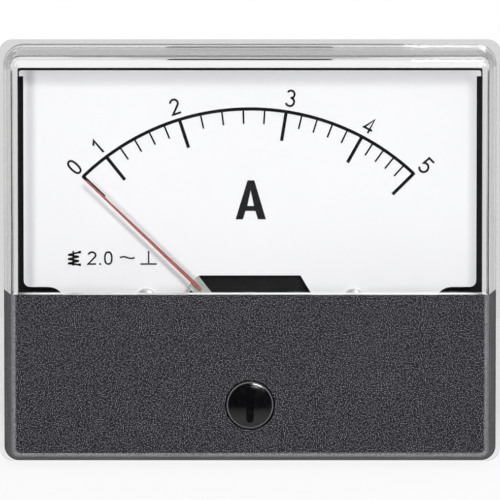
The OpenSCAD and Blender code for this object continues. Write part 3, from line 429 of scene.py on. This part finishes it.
def placing(x, z, turn=0.0):
    """Maps a drawing in millimetres to the dial's face at x, z, turned clockwise in degrees."""
    a = math.radians(turn)

    def place(px, pz, y):
        qx = px * math.cos(a) + pz * math.sin(a)
        qz = -px * math.sin(a) + pz * math.cos(a)
        return Vector(((x + qx) * MM, DIAL_Y + y, (z + qz) * MM))
    return place


FLAT = placing(0, 0)


def printed(name, build):
    bm = bmesh.new()
    build(bm)
    bmesh.ops.recalc_face_normals(bm, faces=bm.faces)
    obj = new_object(name, bm)
    obj.data.materials.append(looks["print_black"])
    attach(obj, "case")


def draw_figure(bm, mark, x, z, h, line, turn=0.0, wide=1.0):
    """A figure of overall height h with its middle at x, z."""
    core = h - line
    pts = [(px * wide, pz - core / 2) for px, pz in figure_points(mark, core)]
    ribbon(bm, pts, line, placing(x, z, turn), closed=mark == "0")


def add_scale_figures():
    places = [  # figure, x, z, height, turn and width
        ("0", -24.35, 11.85, 2.4, -46.5, 0.9),
        ("1", -21.1, 14.6, 2.4, -41, 1),
        ("2", -10.4, 20.22, 2.3, -17.5, 1),
        ("3", 5.6, 21.37, 2.45, 7.5, 1),
        ("4", 16.6, 17.55, 2.4, 28.5, 1),
        ("5", 24.4, 12.05, 2.4, 45.0, 1),
    ]
    for mark, x, z, h, turn, wide in places:
        printed("figure_" + mark, lambda bm: draw_figure(bm, mark, x, z, h, FIGURE_LINE, turn, wide))


def unit_letter(bm):
    """The letter for amperes: an outline with a flat apex and a three-cornered counter."""
    outer = [(0, 0), (60, 195), (94, 195), (152, 0), (112, 0), (99, 42), (50, 42), (37, 0)]
    counter = [(59, 67), (92, 67), (75.5, 145)]
    half_width, half_height = 76, 97.5
    units = 36  # of the drawing, for each millimetre
    middle_x, middle_z = 0.1, 7.3
    place = placing(middle_x - half_width / units, middle_z - half_height / units)
    front, back = ([[bm.verts.new(place(x / units, z / units, y)) for x, z in ring] for ring in (outer, counter)]
                   for y in (-PRINT_THICKNESS, 0))
    o, c = 0, 1
    cells = [  # corners of the pieces of the face, as (ring, index)
        [(o, 0), (o, 1), (c, 0), (o, 6), (o, 7)],
        [(o, 1), (c, 2), (c, 0)],
        [(o, 1), (o, 2), (c, 2)],
        [(o, 2), (c, 1), (c, 2)],
        [(o, 2), (o, 3), (o, 4), (o, 5), (c, 1)],
        [(o, 6), (c, 0), (c, 1), (o, 5)],
    ]
    for cell in cells:
        bm.faces.new([front[r][i] for r, i in cell])
        bm.faces.new([back[r][i] for r, i in reversed(cell)])
    for r, ring in enumerate((outer, counter)):
        for i in range(len(ring)):
            j = (i + 1) % len(ring)
            bm.faces.new((front[r][i], front[r][j], back[r][j], back[r][i]))


def coil_symbol(bm):
    """Working principle: the zigzag of a coil across its upright iron, with a dot at each end."""
    iron, left, right, end = -24.53, -25.25, -23.74, -23.62
    top, bottom = 0.03, -1.72
    dot_reach, dot_height = 0.17, 0.36
    ribbon(bm, [(iron, 0.2), (iron, -1.85)], SIGN_LINE, FLAT)
    corners = [(end, top), (left, -0.34), (right, -0.6), (left, -0.93), (right, -1.19), (left, -1.54),
               (end, bottom)]
    for leg in zip(corners, corners[1:]):
        ribbon(bm, leg, SIGN_LINE, FLAT)
    for z in (top, bottom):
        ribbon(bm, [(end - dot_reach, z), (end + dot_reach, z)], dot_height, FLAT)


def accuracy_class(bm):
    h, wide = 1.9, 1.12
    middle, point_z = SIGN_FOOT + h / 2, SIGN_FOOT + SIGN_LINE / 2
    draw_figure(bm, "2", -21.93, middle, h, SIGN_LINE, 0, wide)
    ribbon(bm, [(-20.92, point_z), (-20.66, point_z)], SIGN_LINE, FLAT)
    draw_figure(bm, "0", -19.66, middle, h, SIGN_LINE, 0, wide)


def current_sign(bm):
    """Alternating current: one wave."""
    start, length, middle, swing, steps = -18.05, 2.05, -0.72, 0.11, 20
    ribbon(bm, [(start + length * i / steps, middle + swing * math.sin(2 * math.pi * i / steps))
                for i in range(steps + 1)], 0.23, FLAT)


def position_sign(bm):
    """Upright dial: a post on its foot."""
    post_x, top, line = -14.07, 0.2, 0.22
    base_z = SIGN_FOOT + SIGN_LINE / 2
    ribbon(bm, [(post_x, top), (post_x, SIGN_FOOT + SIGN_LINE)], line, FLAT)
    ribbon(bm, [(-15.2, base_z), (-12.95, base_z)], line, FLAT)


def add_signs():
    printed("unit_letter", unit_letter)
    printed("coil_symbol", coil_symbol)
    printed("accuracy_class", accuracy_class)
    printed("current_sign", current_sign)
    printed("position_sign", position_sign)


# ---------------------------------------------------------------- mask

def mask_outline():
    """A block with the mask's own sides, whose corners are rounded from the foot right up to the face."""
    wide, high = 34.4, 29.4  # half the width and height of the foot
    back, foot, front = 8.0, -1.6, -14.0
    edge, corner, corner_taper = 0.85, 2.1, 0.55
    spare = 0.02  # between the block's sides and the mask's
    draft = math.radians(7.5)
    edge_steps, corner_steps = 6, 8
    middle = front + edge
    inset = math.tan(draft) * (foot - middle) + edge / math.cos(draft)
    profile = [(0, back), (0, foot)]  # how far the sides have come in, and y
    for i in range(edge_steps + 1):
        a = draft + (math.pi / 2 - draft) * i / edge_steps
        profile.append((inset - edge * math.cos(a), middle - edge * math.sin(a)))
    profile.append((inset, front - 1))

    rings = []
    for step, y in profile:
        w, h = wide - step + spare, high - step + spare
        r = corner - corner_taper * step
        ring = []
        for side_x, side_z, start in ((1, 1, 0), (-1, 1, 90), (-1, -1, 180), (1, -1, 270)):
            ring += [(x, y, z) for x, z in arc(side_x * (w - r), side_z * (h - r), r, r, start, start + 90,
                                               corner_steps)]
        rings.append(ring)
    bm = bmesh.new()
    loft(bm, rings)
    bmesh.ops.recalc_face_normals(bm, faces=bm.faces)
    return new_object("mask_outline", bm)


def add_rounded_mask():
    """Stands for the mask's solid: the same shape, with its two lower corners rounded right up to the face."""
    outline = mask_outline()
    solid = nodes["front_mask"]
    bm = bmesh.new()
    bm.from_mesh(solid.data)
    bm.transform(solid.matrix_world)
    bmesh.ops.remove_doubles(bm, verts=bm.verts, dist=1e-7)
    piece = new_object("front_mask_rounded", bm)
    cut = piece.modifiers.new("rounding", "BOOLEAN")
    cut.operation = "INTERSECT"
    cut.object = outline
    rounded = bpy.data.meshes.new_from_object(piece.evaluated_get(bpy.context.evaluated_depsgraph_get()))
    piece.modifiers.clear()
    piece.data = rounded
    bpy.data.objects.remove(outline)
    rounded.materials.clear()
    rounded.materials.append(looks["mask_black"])
    rounded.shade_smooth()
    rounded.set_sharp_from_angle(angle=math.radians(30))
    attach(piece, "case")
    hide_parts("front_mask")


# ---------------------------------------------------------------- threads

def add_thread(name, node, places, r, start, end, pitch):
    """A raised screw thread round each stud at places, from start to end, in millimetres."""
    steps = 24
    root, crest, flank = r - 0.03, r + 0.1, 0.4 * pitch
    section = ((root, -flank), (crest, 0.0), (root, flank))
    bm = bmesh.new()
    for x, z in places:
        rings = []
        for i in range(int((end - start - pitch) / pitch * steps) + 1):
            a = 2 * math.pi * i / steps
            y = start + pitch / 2 + pitch * i / steps
            rings.append([(x + q * math.cos(a), y + d, z + q * math.sin(a)) for q, d in section])
        loft(bm, rings)
    bmesh.ops.recalc_face_normals(bm, faces=bm.faces)
    thread = new_object(name, bm)
    thread.data.materials.append(nodes[node].data.materials[0])
    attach(thread, "case")


def add_threads():
    corners = [(x, z) for x in (-24, 24) for z in (-22, 22)]
    add_thread("stud_threads", "mounting_studs", corners, r=1.5, start=0.3, end=11.5, pitch=0.5)
    terminals = [(-14, 7), (14, 7)]
    nuts_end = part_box("terminal_nuts")[1].y / MM
    studs_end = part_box("terminal_studs")[1].y / MM
    add_thread("terminal_threads", "terminal_studs", terminals, r=2.0, start=nuts_end + 0.05,
               end=studs_end - 0.5, pitch=0.7)


# ---------------------------------------------------------------- stage and light

def floor_material():
    s = Shader("floor_pale")
    s.set(Base_Color=s.ramp(s.noise(0.01, 2), (0.86, 0.86, 0.86), (0.88, 0.88, 0.88)), Roughness=0.9,
          Specular_IOR_Level=0.0)
    rays = s.rays()
    # seen by the camera or in a mirror, the floor turns to plain white away from the object
    place = s.node("ShaderNodeTexCoord").outputs["Object"]
    far = s.node("ShaderNodeVectorMath", {0: place}, operation="LENGTH").outputs["Value"]
    seen = s.math("MAXIMUM", rays["Is Camera Ray"], rays["Is Glossy Ray"])
    seen = s.math("MAXIMUM", seen, rays["Is Transmission Ray"])
    whiteness = s.math("MULTIPLY", s.span(far, 0.9, 1.0, 0.04, 0.26), seen)
    surface = s.switch(whiteness, s.main.outputs[0], s.glow("Emission", 1.0))
    # mirrored in the object, only the floor close to it is bright
    near = s.span(s.axes("Object")["Y"], 0.02, 0.8, -0.085, -0.035)
    surface = s.switch(rays["Is Glossy Ray"], surface, s.glow("Emission", near))
    # and it throws little light back up at the object
    dim = s.node("ShaderNodeBsdfDiffuse", {"Color": (0.3, 0.3, 0.3, 1)})
    surface = s.switch(rays["Is Diffuse Ray"], surface, dim.outputs[0])
    s.put(s.out.inputs["Surface"], surface)
    return s.mat


def add_stage():
    bm = bmesh.new()
    bmesh.ops.create_circle(bm, cap_ends=True, segments=96, radius=0.3)
    floor = new_object("floor", bm)
    floor.location = (0, 0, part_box("clear_cover")[0].z)
    floor.data.materials.append(floor_material())


def add_world():
    world = bpy.data.worlds.new("studio")
    scene.world = world
    world.use_nodes = True
    world.node_tree.nodes.clear()
    w = Nodes(world.node_tree)
    rays = w.rays()
    axes = w.axes("Generated")
    # mirrored or seen through the plastic, the room is dark in front of the object and pale behind and above it
    room = w.span(axes["Y"], 0.02, 0.75, -0.4, 0.55, interpolation_type="SMOOTHSTEP")
    above = w.span(axes["Z"], 0.0, 1.0, 0.15, 0.32)
    behind = w.span(axes["Y"], 0.0, 1.0, 0.1, 0.5)
    level = w.math("MAXIMUM", room, w.math("MULTIPLY", above, behind))
    by_plastic = w.math("MAXIMUM", rays["Is Glossy Ray"], rays["Is Transmission Ray"])
    surface = w.switch(by_plastic, w.glow("Background", 0.2), w.glow("Background", level))
    surface = w.switch(rays["Is Camera Ray"], surface, w.glow("Background", 1.0))
    w.put(w.node("ShaderNodeOutputWorld").inputs["Surface"], surface)


def add_light(name, place, size, power, mirrored):
    data = bpy.data.lights.new(name, "AREA")
    data.shape = "RECTANGLE"
    data.size, data.size_y = size
    data.energy = power
    obj = bpy.data.objects.new(name, data)
    obj.location = place
    obj.visible_glossy = mirrored
    obj.visible_transmission = mirrored
    scene.collection.objects.link(obj)
    look_at(obj, (0, 0, 0))


def add_lights():
    lights = [  # name, place, size, power, and whether the object mirrors it
        ("key", (0.148, -0.838, 0.293), (0.2, 0.2), 4.35, True),
        ("fill", (-0.248, -0.864, 0.047), (0.12, 0.3), 3.4, False),
        ("top", (0.05, -0.1, 0.8), (0.6, 0.4), 1.4, True),
        ("right side", (0.8, -0.2, 0.1), (0.4, 0.6), 0.7, False),
        ("left side", (-0.8, -0.2, 0.1), (0.4, 0.6), 0.5, False),
        ("back", (0.35, 0.8, 0.4), (0.5, 0.5), 2.0, False),
    ]
    for light in lights:
        add_light(*light)


add_camera()
looks = add_materials()
add_scale_figures()
add_signs()
add_rounded_mask()
add_threads()
add_stage()
add_world()
add_lights()

scene.view_settings.view_transform = "Standard"
scene.cycles.max_bounces = 16
scene.cycles.transmission_bounces = 14
scene.cycles.transparent_max_bounces = 24
scene.cycles.use_denoising = True
